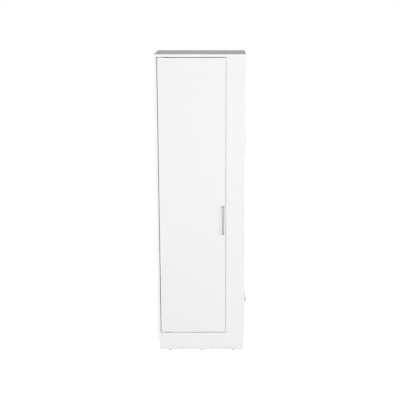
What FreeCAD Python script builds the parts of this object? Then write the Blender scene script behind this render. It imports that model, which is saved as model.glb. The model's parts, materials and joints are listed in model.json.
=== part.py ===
import FreeCAD, Part
import math
import os

# A tall broom cupboard: a board case on a plinth, one tall door hung on end pivots at the left, and a
# fixed front panel at the right. Millimetres. X to the right, Y to the back, Z up, floor at Z = 0.
# The origin is the middle of the whole footprint, both handles included.

# Case
WIDTH = 600.0
DEPTH = 450.0
BODY_HEIGHT = 1930.0
BOARD = 18.0
EDGE_EASE = 0.8              # radius of the edge bands
BACK_THICKNESS = 8.0
BACK_INSET = 10.0            # rear of the case to the rear of the back panel
GROOVE_DEPTH = 8.0
GROOVE_CLEARANCE = 0.15      # each side of the back panel
GROOVE_FLOOR_GAP = 0.5       # back panel's edge to the groove's floor

# Front
DOOR_GAP = 4.0
FIXED_FRONT_WIDTH = 112.0
STILE_WIDTH = 70.0
STILE_OVERLAP = 10.0         # stile behind the door's closing edge
STILE_REBATE = 2.0           # room for the bumpers

# Inside
HAT_SPACE = 296.0            # hat shelf to the ceiling
BATTEN_WIDTH = 90.0
BATTEN_DROP = 110.0          # hat shelf's underside to the batten's top edge
BATTEN_DOWEL_INSET = 22.5    # batten's long edges to its dowels

# Plinth and glides
PLINTH_HEIGHT = 115.0
PLINTH_SIDE_INSET = 6.0
PLINTH_END_INSET = 20.0
BLOCK_LEG = 60.0
BLOCK_HEIGHT = 80.0
GLIDE_HEIGHT = 5.0
GLIDE_RADIUS = 9.0
GLIDE_EDGE = 1.5
GLIDE_INSET = 75.0           # plinth's ends to the outer glides
GLIDE_COUNT = 3              # under each long rail
NAIL_RADIUS = 1.5
NAIL_LENGTH = 25.0

# Connectors between the boards
DOWEL_RADIUS = 4.0
DOWEL_DEEP = 23.0            # in the board's end
DOWEL_SHALLOW = 12.0         # in the board's face
CAM_RADIUS = 7.5
CAM_DEPTH = 12.5
CAM_FROM_END = 24.0
CAM_SLOT_WIDTH = 2.5
CAM_SLOT_DEPTH = 2.0
CAM_SLOT_LENGTH = 11.0
BOLT_RADIUS = 3.0
BOLT_THREAD = 11.0           # in the board's face
CONNECTOR_INSET = 60.0       # from the board's front and rear edge to a cam
DOWEL_OFFSET = 32.0          # cam to its dowel
UPRIGHT_DOWEL_INSET = 16.0   # edge of an upright to its end dowels
CAP_RADIUS = 8.5
CAP_THICKNESS = 1.0

# Door pivots
PIVOT_FROM_EDGE = 19.0       # door's hinge edge to the pivot's axis
PIN_RADIUS = 4.0
PIN_CLEARANCE = 0.05
PIN_REACH = 14.0             # pin beyond the gap, inside its socket
SOCKET_RADIUS = 6.0
SOCKET_DEPTH = 18.0
PLATE_LENGTH = 62.0
PLATE_WIDTH = 14.0
PLATE_THICKNESS = 2.5
PLATE_AXIS_OFFSET = 12.0     # near end of the plate to the pivot's axis
PLATE_SCREWS = (18.0, 38.0)  # from the pivot's axis
PIN_NOSE = 1.0
SOCKET_END_AIR = 1.5         # pin's tip to the socket's floor
WASHER_RADIUS = 7.0
WASHER_CLEARANCE = 0.3

# Screws
SMALL_SCREW_RADIUS = 1.75
SMALL_SCREW_HEAD = 3.4
SMALL_SCREW_LENGTH = 16.0
LONG_SCREW_RADIUS = 2.0
LONG_SCREW_HEAD = 4.0
STILE_SCREW_LENGTH = 30.0
STILE_SCREW_END = 80.0       # end of the stile to its first screw
STILE_SCREW_COUNT = 6
BLOCK_SCREW_BITE = 13.0      # into the bottom panel
BLOCK_SCREW_ALONG = 35.0     # from the inner corner, beside the long rail
BLOCK_SCREW_ACROSS = 12.0
MACHINE_SCREW_RADIUS = 2.0
MACHINE_HEAD_RADIUS = 4.0
MACHINE_HEAD_TOP = 3.2
MACHINE_HEAD_HEIGHT = 2.5
THREAD_DEPTH = 7.0           # machine screw in the handle's foot

# Bow handle on the door
BOW_HOLE_SPACING = 176.0
BOW_OVERHANG = 9.5           # hole to the handle's end
BOW_REACH = 28.0             # in the middle
BOW_SHOULDER = 23.0          # reach over the legs
BOW_THICKNESS = 6.0
BOW_WIDTH = 13.0
BOW_LEG = 16.0               # thickness of each leg, along the door
BOW_FLARE = 1.5              # widening of each leg at the door, each side
BOW_FLARE_HEIGHT = 12.0
BOW_OUTER_BEND = 8.0
BOW_INNER_BEND = 5.0
BOW_EASE = 1.0
BOW_FROM_EDGE = 17.0         # door's closing edge to the handle's middle
BOW_HEIGHT = 944.5           # floor to the handle's middle

# Profile pull on the right side
PULL_LENGTH = 200.0
PULL_REACH = 11.0
PULL_WALL = 1.8
PULL_BEND = 2.6              # outer radius between the top and the lip
PULL_LIP = 13.0              # top to the lip's straight end
PULL_PLATE = 32.0            # top to the plate's lower edge
PULL_CORNER = 4.0            # plate's lower corners
PULL_TOP = 330.0             # floor to the pull's top
PULL_SETBACK = 125.0         # front of the case to the pull's front end
PULL_SCREW_DROP = 23.0       # top to its screws
PULL_SCREW_INSET = 20.0
PULL_SCREW_COUNT = 3

# Small fittings
BUMPER_RADIUS = 3.5
BUMPER_THICKNESS = 1.7
BUMPER_TAPER = 0.7
BUMPER_END = 120.0           # door's end to the first bumper
BUMPER_COUNT = 3
CATCH_WIDTH = 14.0
CATCH_HEIGHT = 46.0
CATCH_DEPTH = 15.0
CATCH_LEVEL = 1250.0
CATCH_AIR = 0.3
CATCH_SCREW_OFFSET = 19.0
CATCH_SCREW_BITE = 12.0
MAGNET_HEIGHT = 30.0
MAGNET_WIDTH = 8.0
MAGNET_DEPTH = 9.0
STRIKE_THICKNESS = 1.0
STRIKE_WIDTH = 12.0
STRIKE_HEIGHT = 38.0
STRIKE_SCREW_OFFSET = 13.0
STRIKE_SCREW_LENGTH = 14.0
CLIP_GRIP = 12.0             # radius of the handle a clip holds
CLIP_THICKNESS = 1.2
CLIP_HEIGHT = 20.0
CLIP_MOUTH = 50.0            # half the clip's opening, degrees
CLIP_LIP = 2.2
CLIP_BASE_WIDTH = 14.0
CLIP_PITCH = 110.0
CLIP_COUNT = 3
HOOK_RADIUS = 2.5
HOOK_BEND = 9.0
HOOK_TIP = 10.0
HOOK_SHANK = 24.0
HOOK_PLATE_RADIUS = 12.0
HOOK_PLATE_THICKNESS = 2.0
HOOK_SCREW_OFFSET = 7.5
HOOK_COUNT = 2
HOOK_PITCH = 75.0
BRACKET_LEG = 40.0
BRACKET_WIDTH = 22.0
BRACKET_THICKNESS = 2.5
BRACKET_FROM_SIDE = 90.0
WALL_HOLE_RADIUS = 3.25
WALL_HOLE_DROP = 26.0        # ceiling to the wall screw

# Derived planes
LEFT = -WIDTH / 2
RIGHT = WIDTH / 2
FRONT = -DEPTH / 2
REAR = DEPTH / 2
BODY_FOOT = GLIDE_HEIGHT + PLINTH_HEIGHT
TOP = BODY_FOOT + BODY_HEIGHT
INNER_LEFT = LEFT + BOARD
INNER_RIGHT = RIGHT - BOARD
INNER_FLOOR = BODY_FOOT + BOARD
CEILING = TOP - BOARD
BACK_REAR = REAR - BACK_INSET
BACK_FRONT = BACK_REAR - BACK_THICKNESS
DOOR_LEFT = INNER_LEFT + DOOR_GAP
DOOR_RIGHT = INNER_RIGHT - FIXED_FRONT_WIDTH - DOOR_GAP
DOOR_FOOT = INNER_FLOOR + DOOR_GAP
DOOR_TOP = CEILING - DOOR_GAP
DOOR_BACK = FRONT + BOARD
STILE_LEFT = DOOR_RIGHT - STILE_OVERLAP
STILE_RIGHT = STILE_LEFT + STILE_WIDTH
STILE_REAR = DOOR_BACK + BOARD
SHELF_TOP = CEILING - HAT_SPACE
SHELF_FOOT = SHELF_TOP - BOARD
BATTEN_TOP = SHELF_FOOT - BATTEN_DROP
BATTEN_FOOT = BATTEN_TOP - BATTEN_WIDTH
BATTEN_FRONT = BACK_FRONT - BOARD
PIVOT_X = DOOR_LEFT + PIVOT_FROM_EDGE
PIVOT_Y = FRONT + BOARD / 2
PLINTH_LEFT = LEFT + PLINTH_SIDE_INSET
PLINTH_RIGHT = RIGHT - PLINTH_SIDE_INSET
PLINTH_FRONT = FRONT + PLINTH_END_INSET
PLINTH_REAR = REAR - PLINTH_END_INSET
BOW_X = DOOR_RIGHT - BOW_FROM_EDGE
BOW_LENGTH = BOW_HOLE_SPACING + 2 * BOW_OVERHANG
BOW_FOOT_WIDTH = BOW_WIDTH + 2 * BOW_FLARE
PULL_FRONT = FRONT + PULL_SETBACK
FIXED_LEFT = DOOR_RIGHT + DOOR_GAP
CATCH_FRONT = DOOR_BACK + STRIKE_THICKNESS + CATCH_AIR
BRACKET_PLACES = (INNER_LEFT + BRACKET_FROM_SIDE, INNER_RIGHT - BRACKET_FROM_SIDE)
WALL_HOLE_LEVEL = CEILING - WALL_HOLE_DROP
TINY = 1e-4

X_AXIS = FreeCAD.Vector(1, 0, 0)
Y_AXIS = FreeCAD.Vector(0, 1, 0)
Z_AXIS = FreeCAD.Vector(0, 0, 1)
ORIGIN_SHIFT = FreeCAD.Vector(-PULL_REACH / 2, BOW_REACH / 2, 0)


def at(x, y, z):
    return FreeCAD.Vector(x, y, z)


def block(x, y, z):
    """Box from three (low, high) pairs."""
    return Part.makeBox(x[1] - x[0], y[1] - y[0], z[1] - z[0], at(x[0], y[0], z[0]))


def eased(shape, radius=EDGE_EASE):
    """Round every edge of a plain solid."""
    return shape.makeFillet(radius, shape.Edges)


def board(x, y, z):
    """Laminated board with eased edge bands."""
    return eased(block(x, y, z))


def rod(start, direction, length, radius):
    return Part.makeCylinder(radius, length, start, direction)


def spread(low, high, count):
    """Evenly spaced places from low to high."""
    return [low + (high - low) * i / (count - 1) for i in range(count)]


def prism(points, direction):
    """Solid from a closed outline of straight edges."""
    return Part.Face(Part.makePolygon(points + points[:1])).extrude(direction)


def group(solids):
    return Part.makeCompound(solids)


def countersunk(head, direction, length, radius=SMALL_SCREW_RADIUS, head_radius=SMALL_SCREW_HEAD):
    """Wood screw: its flat head lies flush at `head`, its tip points along `direction`."""
    cone = Part.makeCone(head_radius, radius, head_radius - radius, head, direction)
    return cone.fuse(rod(head, direction, length, radius)).removeSplitter()


def machine_screw(seat, direction, length):
    """Pan-head screw: the head stands behind `seat`, the shank runs along `direction`."""
    head = Part.makeCone(MACHINE_HEAD_TOP, MACHINE_HEAD_RADIUS, MACHINE_HEAD_HEIGHT,
                         seat - direction * MACHINE_HEAD_HEIGHT, direction)
    return head.fuse(rod(seat, direction, length, MACHINE_SCREW_RADIUS))


# ---------------------------------------------------------------- connectors

def dowel(joint, into_end):
    """Dowel across a joint plane: shallow in the one board's face, deep in the other's end."""
    return rod(joint - into_end * DOWEL_SHALLOW, into_end, DOWEL_SHALLOW + DOWEL_DEEP, DOWEL_RADIUS)


def cam_bolt(joint, into_end):
    return rod(joint - into_end * BOLT_THREAD, into_end, BOLT_THREAD + CAM_FROM_END, BOLT_RADIUS)


def cam_hole(joint, into_end, to_face):
    """Round pocket for a cam, from the board's face down past its middle."""
    face = joint + into_end * CAM_FROM_END + to_face * (BOARD / 2)
    return rod(face, to_face * -1, CAM_DEPTH, CAM_RADIUS)


def cam(joint, into_end, to_face):
    """Cam with its cross slot, clamped round the bolt's head."""
    face = joint + into_end * CAM_FROM_END + to_face * (BOARD / 2)
    across = into_end.cross(to_face)
    slots = []
    for along, beside in ((into_end, across), (across, into_end)):
        length = along * CAM_SLOT_LENGTH
        width = beside * CAM_SLOT_WIDTH
        corner = face - (length + width) * 0.5 - to_face * CAM_SLOT_DEPTH
        outline = [corner, corner + length, corner + length + width, corner + width]
        slots.append(prism(outline, to_face * CAM_SLOT_DEPTH))
    return cam_hole(joint, into_end, to_face).cut(group(slots + [cam_bolt(joint, into_end)]))


def cam_cap(joint, into_end, to_face):
    face = joint + into_end * CAM_FROM_END + to_face * (BOARD / 2)
    return Part.makeCone(CAP_RADIUS, CAP_RADIUS - CAP_THICKNESS, CAP_THICKNESS, face, to_face)


def cam_joints():
    """(joint point, direction into the board's end, direction to the cam's face), capped ones last."""
    hidden = []
    capped = []
    for wall, inward in ((INNER_LEFT, X_AXIS), (INNER_RIGHT, X_AXIS * -1)):
        for y in (FRONT + CONNECTOR_INSET, REAR - CONNECTOR_INSET):
            hidden.append((at(wall, y, BODY_FOOT + BOARD / 2), inward, Z_AXIS * -1))
            capped.append((at(wall, y, CEILING) - inward * (BOARD / 2), Z_AXIS * -1, inward))
        for y in (STILE_REAR + CONNECTOR_INSET, BACK_FRONT - CONNECTOR_INSET):
            capped.append((at(wall, y, SHELF_FOOT + BOARD / 2), inward, Z_AXIS * -1))
    return hidden, capped


def dowel_joints():
    """(joint point, direction into the board's end) of every dowel."""
    joints = []
    for wall, inward in ((INNER_LEFT, X_AXIS), (INNER_RIGHT, X_AXIS * -1)):
        for side, edge in ((1, FRONT), (-1, REAR)):
            y = edge + side * (CONNECTOR_INSET + DOWEL_OFFSET)
            joints.append((at(wall, y, BODY_FOOT + BOARD / 2), inward))
            joints.append((at(wall, y, CEILING) - inward * (BOARD / 2), Z_AXIS * -1))
        for side, edge in ((1, STILE_REAR), (-1, BACK_FRONT)):
            y = edge + side * (CONNECTOR_INSET + DOWEL_OFFSET)
            joints.append((at(wall, y, SHELF_FOOT + BOARD / 2), inward))
        for side, edge in ((1, BATTEN_FOOT), (-1, BATTEN_TOP)):
            joints.append((at(wall, BATTEN_FRONT + BOARD / 2, edge + side * BATTEN_DOWEL_INSET), inward))
    uprights = ((FIXED_LEFT, INNER_RIGHT, FRONT + BOARD / 2),
                (FIXED_LEFT, STILE_RIGHT, DOOR_BACK + BOARD / 2))
    for x_low, x_high, y in uprights:
        for x in (x_low + UPRIGHT_DOWEL_INSET, x_high - UPRIGHT_DOWEL_INSET):
            joints.append((at(x, y, INNER_FLOOR), Z_AXIS))
            joints.append((at(x, y, CEILING), Z_AXIS * -1))
    return joints


HIDDEN_CAMS, CAPPED_CAMS = cam_joints()
DOWEL_SOLIDS = [dowel(*joint) for joint in dowel_joints()]
BOLT_SOLIDS = [cam_bolt(joint, into_end) for joint, into_end, _ in HIDDEN_CAMS + CAPPED_CAMS]
CAM_HOLES = [cam_hole(*joint) for joint in HIDDEN_CAMS + CAPPED_CAMS]
DRILLING = group(DOWEL_SOLIDS + BOLT_SOLIDS + CAM_HOLES)


def connectors():
    return {
        "dowels": group(DOWEL_SOLIDS),
        "cam_bolts": group(BOLT_SOLIDS),
        "cams": group([cam(*joint) for joint in HIDDEN_CAMS + CAPPED_CAMS]),
        "cam_caps": group([cam_cap(*joint) for joint in CAPPED_CAMS]),
    }


# ---------------------------------------------------------------- pivots

def pivot_plate_blank(face, up):
    """Round-ended plate let in flush behind `face`; `up` points out of the board."""
    centre = at(PIVOT_X, PIVOT_Y, face)
    half = PLATE_WIDTH / 2
    near = centre - X_AXIS * (PLATE_AXIS_OFFSET - half)
    far = near + X_AXIS * (PLATE_LENGTH - PLATE_WIDTH)
    depth = up * -PLATE_THICKNESS
    middle = prism([near - Y_AXIS * half, far - Y_AXIS * half,
                    far + Y_AXIS * half, near + Y_AXIS * half], depth)
    ends = [rod(point, up * -1, PLATE_THICKNESS, half) for point in (near, far)]
    return middle.multiFuse(ends).removeSplitter()


def pivot_screws(face, up):
    return [countersunk(at(PIVOT_X + x, PIVOT_Y, face), up * -1, SMALL_SCREW_LENGTH) for x in PLATE_SCREWS]


def pivot_pin(face, up):
    """Pin from the plate across the gap into its socket, with a tapered nose."""
    root = at(PIVOT_X, PIVOT_Y, face) - up * PLATE_THICKNESS
    straight = PLATE_THICKNESS + DOOR_GAP + PIN_REACH - PIN_NOSE
    nose = Part.makeCone(PIN_RADIUS, PIN_RADIUS - PIN_NOSE, PIN_NOSE, root + up * straight, up)
    return rod(root, up, straight, PIN_RADIUS).fuse(nose)


def socket_blank(end, into_door):
    return rod(at(PIVOT_X, PIVOT_Y, end), into_door, SOCKET_DEPTH, SOCKET_RADIUS)


def pivots():
    """Pivot sets at the door's foot and top: fixed plates with pins, washers, sockets in the door."""
    plates = []
    fixed_screws = []
    washers = []
    sockets = []
    door_screws = []
    for face, end, up in ((INNER_FLOOR, DOOR_FOOT, Z_AXIS), (CEILING, DOOR_TOP, Z_AXIS * -1)):
        axis_point = at(PIVOT_X, PIVOT_Y, face)
        screws = pivot_screws(face, up)
        plate = pivot_plate_blank(face, up).cut(group(screws))
        plates.append(plate.fuse(pivot_pin(face, up)).removeSplitter())
        fixed_screws.extend(screws)
        washers.append(rod(axis_point, up, DOOR_GAP, WASHER_RADIUS)
                       .cut(rod(axis_point, up, DOOR_GAP, PIN_RADIUS + WASHER_CLEARANCE)))
        screws = pivot_screws(end, up * -1)
        body = pivot_plate_blank(end, up * -1).fuse(socket_blank(end, up)).removeSplitter()
        bore = rod(at(PIVOT_X, PIVOT_Y, end), up, PIN_REACH + SOCKET_END_AIR, PIN_RADIUS + PIN_CLEARANCE)
        sockets.append(body.cut(group(screws + [bore])))
        door_screws.extend(screws)
    return {
        "pivot_plates": group(plates),
        "pivot_plate_screws": group(fixed_screws),
        "pivot_washers": group(washers),
        "door_sockets": group(sockets),
        "door_socket_screws": group(door_screws),
    }


# ---------------------------------------------------------------- handles

def bow_screw(side):
    seat = at(BOW_X, DOOR_BACK, BOW_HEIGHT + side * BOW_HOLE_SPACING / 2)
    return machine_screw(seat, Y_AXIS * -1, BOARD + THREAD_DEPTH)


def bow_blank():
    """Side profile of the bow, as wide as its feet: an arched bar bent over into a leg at each end."""
    def side(up, out):
        return at(BOW_X - BOW_FOOT_WIDTH / 2, FRONT - out, BOW_HEIGHT + up)

    end = BOW_LENGTH / 2
    inner = end - BOW_LEG
    under = BOW_SHOULDER - BOW_THICKNESS
    profile = Part.Wire([
        Part.makeLine(side(-end, 0), side(-inner, 0)),
        Part.makeLine(side(-inner, 0), side(-inner, under)),
        Part.Arc(side(-inner, under), side(0, BOW_REACH - BOW_THICKNESS), side(inner, under)).toShape(),
        Part.makeLine(side(inner, under), side(inner, 0)),
        Part.makeLine(side(inner, 0), side(end, 0)),
        Part.makeLine(side(end, 0), side(end, BOW_SHOULDER)),
        Part.Arc(side(end, BOW_SHOULDER), side(0, BOW_REACH), side(-end, BOW_SHOULDER)).toShape(),
        Part.makeLine(side(-end, BOW_SHOULDER), side(-end, 0)),
    ])
    solid = Part.Face(profile).extrude(X_AXIS * BOW_FOOT_WIDTH)
    for out, radius in ((BOW_SHOULDER, BOW_OUTER_BEND), (under, BOW_INNER_BEND)):
        edges = [e for e in solid.Edges if e.BoundBox.XLength > BOW_FOOT_WIDTH - TINY
                 and abs(e.BoundBox.YMin - FRONT + out) < TINY]
        solid = solid.makeFillet(radius, edges)
    return solid


def bow_handle():
    """Arched handle: its legs flare towards the door, and all its free edges are eased."""
    def section(right, out):
        return at(BOW_X + right, FRONT - out, BOW_HEIGHT - BOW_LENGTH / 2)

    foot = BOW_FOOT_WIDTH / 2
    bar = BOW_WIDTH / 2
    radius = (BOW_FLARE_HEIGHT ** 2 + BOW_FLARE ** 2) / (2 * BOW_FLARE)
    half_height = BOW_FLARE_HEIGHT / 2
    halfway = bar + radius - math.sqrt(radius ** 2 - half_height ** 2)
    outline = Part.Wire([
        Part.makeLine(section(-foot, 0), section(foot, 0)),
        Part.Arc(section(foot, 0), section(halfway, half_height), section(bar, BOW_FLARE_HEIGHT)).toShape(),
        Part.makeLine(section(bar, BOW_FLARE_HEIGHT), section(bar, BOW_REACH)),
        Part.makeLine(section(bar, BOW_REACH), section(-bar, BOW_REACH)),
        Part.makeLine(section(-bar, BOW_REACH), section(-bar, BOW_FLARE_HEIGHT)),
        Part.Arc(section(-bar, BOW_FLARE_HEIGHT), section(-halfway, half_height),
                 section(-foot, 0)).toShape(),
    ])
    solid = bow_blank().common(Part.Face(outline).extrude(Z_AXIS * BOW_LENGTH))
    seam = FRONT - BOW_FLARE_HEIGHT
    free_edges = [e for e in solid.Edges
                  if e.BoundBox.XLength < BOW_WIDTH - TINY and e.BoundBox.YMin < FRONT - TINY
                  and max(abs(e.BoundBox.YMin - seam), abs(e.BoundBox.YMax - seam)) > TINY]
    return solid.makeFillet(BOW_EASE, free_edges).cut(group([bow_screw(-1), bow_screw(1)]))


def pull_screws():
    """Screws through the pull's plate, below its lip, where a screwdriver reaches them."""
    ends = (PULL_FRONT + PULL_SCREW_INSET, PULL_FRONT + PULL_LENGTH - PULL_SCREW_INSET)
    return [countersunk(at(RIGHT + PULL_WALL, y, PULL_TOP - PULL_SCREW_DROP), X_AXIS * -1, SMALL_SCREW_LENGTH)
            for y in spread(*ends, PULL_SCREW_COUNT)]


def profile_pull():
    """Folded strip, lying front to back: a plate on the side, a top, and a round-edged lip to grip."""
    def section(out, down):
        return at(RIGHT + out, PULL_FRONT, PULL_TOP - down)

    def bend(radius):
        """Quarter turn from the top to the lip, about the middle of the fold."""
        slant = radius * math.sin(math.radians(45))
        out = PULL_REACH - PULL_BEND
        return Part.Arc(section(out, PULL_BEND - radius), section(out + slant, PULL_BEND - slant),
                        section(out + radius, PULL_BEND)).toShape()

    lip_inside = PULL_REACH - PULL_WALL
    inner_bend = PULL_BEND - PULL_WALL
    half_wall = PULL_WALL / 2
    roll = Part.Arc(section(PULL_REACH, PULL_LIP), section(lip_inside + half_wall, PULL_LIP + half_wall),
                    section(lip_inside, PULL_LIP)).toShape()
    outline = Part.Wire([
        Part.makeLine(section(0, PULL_PLATE), section(0, 0)),
        Part.makeLine(section(0, 0), section(PULL_REACH - PULL_BEND, 0)),
        bend(PULL_BEND),
        Part.makeLine(section(PULL_REACH, PULL_BEND), section(PULL_REACH, PULL_LIP)),
        roll,
        Part.makeLine(section(lip_inside, PULL_LIP), section(lip_inside, PULL_BEND)),
        bend(inner_bend),
        Part.makeLine(section(PULL_REACH - PULL_BEND, PULL_WALL), section(PULL_WALL, PULL_WALL)),
        Part.makeLine(section(PULL_WALL, PULL_WALL), section(PULL_WALL, PULL_PLATE)),
        Part.makeLine(section(PULL_WALL, PULL_PLATE), section(0, PULL_PLATE)),
    ])
    solid = Part.Face(outline).extrude(Y_AXIS * PULL_LENGTH)
    foot = PULL_TOP - PULL_PLATE + TINY
    corners = [e for e in solid.Edges if e.BoundBox.ZMax < foot and e.BoundBox.YLength < TINY]
    return solid.makeFillet(PULL_CORNER, corners).cut(group(pull_screws()))


# ---------------------------------------------------------------- case

def groove():
    """Slot for the back panel in the sides, top and bottom."""
    return block((INNER_LEFT - GROOVE_DEPTH, INNER_RIGHT + GROOVE_DEPTH),
                 (BACK_FRONT - GROOVE_CLEARANCE, BACK_REAR + GROOVE_CLEARANCE),
                 (INNER_FLOOR - GROOVE_DEPTH, CEILING + GROOVE_DEPTH))


def wall_holes():
    """Holes for the wall screws, through the brackets and the back panel."""
    return [rod(at(x, BACK_FRONT - BRACKET_THICKNESS, WALL_HOLE_LEVEL), Y_AXIS,
                BRACKET_THICKNESS + BACK_THICKNESS, WALL_HOLE_RADIUS) for x in BRACKET_PLACES]


def stile():
    """Upright behind the fixed front: screwed to it, rebated where the door closes on it."""
    outline = [at(STILE_LEFT, DOOR_BACK + STILE_REBATE, INNER_FLOOR),
               at(FIXED_LEFT, DOOR_BACK + STILE_REBATE, INNER_FLOOR),
               at(FIXED_LEFT, DOOR_BACK, INNER_FLOOR),
               at(STILE_RIGHT, DOOR_BACK, INNER_FLOOR),
               at(STILE_RIGHT, STILE_REAR, INNER_FLOOR),
               at(STILE_LEFT, STILE_REAR, INNER_FLOOR)]
    return prism(outline, Z_AXIS * (CEILING - INNER_FLOOR))


def stile_screws():
    x = (FIXED_LEFT + STILE_RIGHT) / 2
    levels = spread(INNER_FLOOR + STILE_SCREW_END, CEILING - STILE_SCREW_END, STILE_SCREW_COUNT)
    return [countersunk(at(x, STILE_REAR, z), Y_AXIS * -1, STILE_SCREW_LENGTH, LONG_SCREW_RADIUS,
                        LONG_SCREW_HEAD) for z in levels]


def case():
    """The boards of the case, grooved, drilled and cut for what they carry."""
    depth = (FRONT, REAR)
    plates = [pivot_plate_blank(INNER_FLOOR, Z_AXIS), pivot_plate_blank(CEILING, Z_AXIS * -1)]
    plate_screws = pivot_screws(INNER_FLOOR, Z_AXIS) + pivot_screws(CEILING, Z_AXIS * -1)
    common_cuts = [groove(), DRILLING]
    level_cuts = common_cuts + plates + plate_screws
    fixed_front = board((FIXED_LEFT, INNER_RIGHT), (FRONT, DOOR_BACK), (INNER_FLOOR, CEILING))
    batten = board((INNER_LEFT, INNER_RIGHT), (BATTEN_FRONT, BACK_FRONT), (BATTEN_FOOT, BATTEN_TOP))
    shelf = board((INNER_LEFT, INNER_RIGHT), (STILE_REAR, BACK_FRONT), (SHELF_FOOT, SHELF_TOP))
    in_groove = GROOVE_DEPTH - GROOVE_FLOOR_GAP
    back = block((INNER_LEFT - in_groove, INNER_RIGHT + in_groove), (BACK_FRONT, BACK_REAR),
                 (INNER_FLOOR - in_groove, CEILING + in_groove))
    return {
        "left_side": board((LEFT, INNER_LEFT), depth, (BODY_FOOT, CEILING)).cut(group(common_cuts)),
        "right_side": board((INNER_RIGHT, RIGHT), depth, (BODY_FOOT, CEILING)).cut(
            group(common_cuts + pull_screws())),
        "top_panel": board((LEFT, RIGHT), depth, (CEILING, TOP)).cut(group(level_cuts + bracket_screws())),
        "bottom_panel": board((INNER_LEFT, INNER_RIGHT), depth, (BODY_FOOT, INNER_FLOOR)).cut(
            group(level_cuts + block_screws())),
        "back_panel": back.cut(group(wall_holes())),
        "fixed_front": fixed_front.cut(group([DRILLING] + stile_screws())),
        "closing_stile": stile().cut(group([DRILLING] + stile_screws() + catch_screws())),
        "stile_screws": group(stile_screws()),
        "hat_shelf": shelf.cut(DRILLING),
        "tool_batten": batten.cut(group([DRILLING] + clip_screws() + hook_screws())),
    }


# ---------------------------------------------------------------- plinth

def corner_places():
    """(x, y, direction in X, direction in Y) of the plinth's four inner corners."""
    return [(x, y, x_way, y_way)
            for x, x_way in ((PLINTH_LEFT + BOARD, 1), (PLINTH_RIGHT - BOARD, -1))
            for y, y_way in ((PLINTH_FRONT + BOARD, 1), (PLINTH_REAR - BOARD, -1))]


def corner_block(x, y, x_way, y_way):
    foot = BODY_FOOT - BLOCK_HEIGHT
    outline = [at(x, y, foot), at(x + x_way * BLOCK_LEG, y, foot), at(x, y + y_way * BLOCK_LEG, foot)]
    return prism(outline, Z_AXIS * BLOCK_HEIGHT)


def block_screws():
    foot = BODY_FOOT - BLOCK_HEIGHT
    return [countersunk(at(x + x_way * BLOCK_SCREW_ALONG, y + y_way * BLOCK_SCREW_ACROSS, foot), Z_AXIS,
                        BLOCK_HEIGHT + BLOCK_SCREW_BITE, LONG_SCREW_RADIUS, LONG_SCREW_HEAD)
            for x, y, x_way, y_way in corner_places()]


def glide_places():
    return [(x, y) for x in spread(PLINTH_LEFT + GLIDE_INSET, PLINTH_RIGHT - GLIDE_INSET, GLIDE_COUNT)
            for y in (PLINTH_FRONT + BOARD / 2, PLINTH_REAR - BOARD / 2)]


def glide(x, y):
    """Round plastic glide with a softened foot."""
    disc = rod(at(x, y, 0), Z_AXIS, GLIDE_HEIGHT, GLIDE_RADIUS)
    foot_edge = [e for e in disc.Edges if e.BoundBox.ZMax < TINY]
    return disc.makeFillet(GLIDE_EDGE, foot_edge)


def plinth():
    """Four rails, glued and screwed through corner blocks, on nailed glides."""
    nails = [rod(at(x, y, GLIDE_HEIGHT / 2), Z_AXIS, NAIL_LENGTH, NAIL_RADIUS) for x, y in glide_places()]
    width = (PLINTH_LEFT, PLINTH_RIGHT)
    height = (GLIDE_HEIGHT, BODY_FOOT)
    between = (PLINTH_FRONT + BOARD, PLINTH_REAR - BOARD)
    screws = block_screws()
    return {
        "plinth_front": board(width, (PLINTH_FRONT, between[0]), height).cut(group(nails)),
        "plinth_back": board(width, (between[1], PLINTH_REAR), height).cut(group(nails)),
        "plinth_left": board((PLINTH_LEFT, PLINTH_LEFT + BOARD), between, height),
        "plinth_right": board((PLINTH_RIGHT - BOARD, PLINTH_RIGHT), between, height),
        "corner_blocks": group([corner_block(*place).cut(group(screws)) for place in corner_places()]),
        "block_screws": group(screws),
        "glides": group([glide(x, y).cut(group(nails)) for x, y in glide_places()]),
        "glide_nails": group(nails),
    }


# ---------------------------------------------------------------- inside fittings

def clip_places():
    middle = (INNER_LEFT + STILE_LEFT) / 2
    reach = CLIP_PITCH * (CLIP_COUNT - 1) / 2
    return [at(x, BATTEN_FRONT, (BATTEN_FOOT + BATTEN_TOP) / 2)
            for x in spread(middle - reach, middle + reach, CLIP_COUNT)]


def clip_screws():
    return [countersunk(place - Y_AXIS * CLIP_THICKNESS, Y_AXIS, SMALL_SCREW_LENGTH)
            for place in clip_places()]


def broom_clip(place):
    """Spring clip: a steel ring open at the front, with rolled lips, on a narrow base strip."""
    foot = place - Z_AXIS * (CLIP_HEIGHT / 2)
    centre = foot - Y_AXIS * (CLIP_GRIP + CLIP_THICKNESS)
    mouth = math.radians(CLIP_MOUTH)
    reach = CLIP_GRIP * 2
    ring = rod(centre, Z_AXIS, CLIP_HEIGHT, CLIP_GRIP + CLIP_THICKNESS)
    base = block((foot.x - CLIP_BASE_WIDTH / 2, foot.x + CLIP_BASE_WIDTH / 2),
                 (foot.y - CLIP_THICKNESS, foot.y), (foot.z, foot.z + CLIP_HEIGHT))
    lips = []
    wedge = [centre]
    for side in (-1, 1):
        way = at(side * math.sin(mouth), -math.cos(mouth), 0)
        lips.append(rod(centre + way * (CLIP_GRIP + CLIP_LIP), Z_AXIS, CLIP_HEIGHT, CLIP_LIP))
        wedge.append(centre + way * reach)
    opened = ring.fuse(base).cut(prism(wedge, Z_AXIS * CLIP_HEIGHT)).multiFuse(lips)
    inside = [rod(centre, Z_AXIS, CLIP_HEIGHT, CLIP_GRIP)]
    return opened.cut(group(inside + clip_screws())).removeSplitter()


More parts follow.
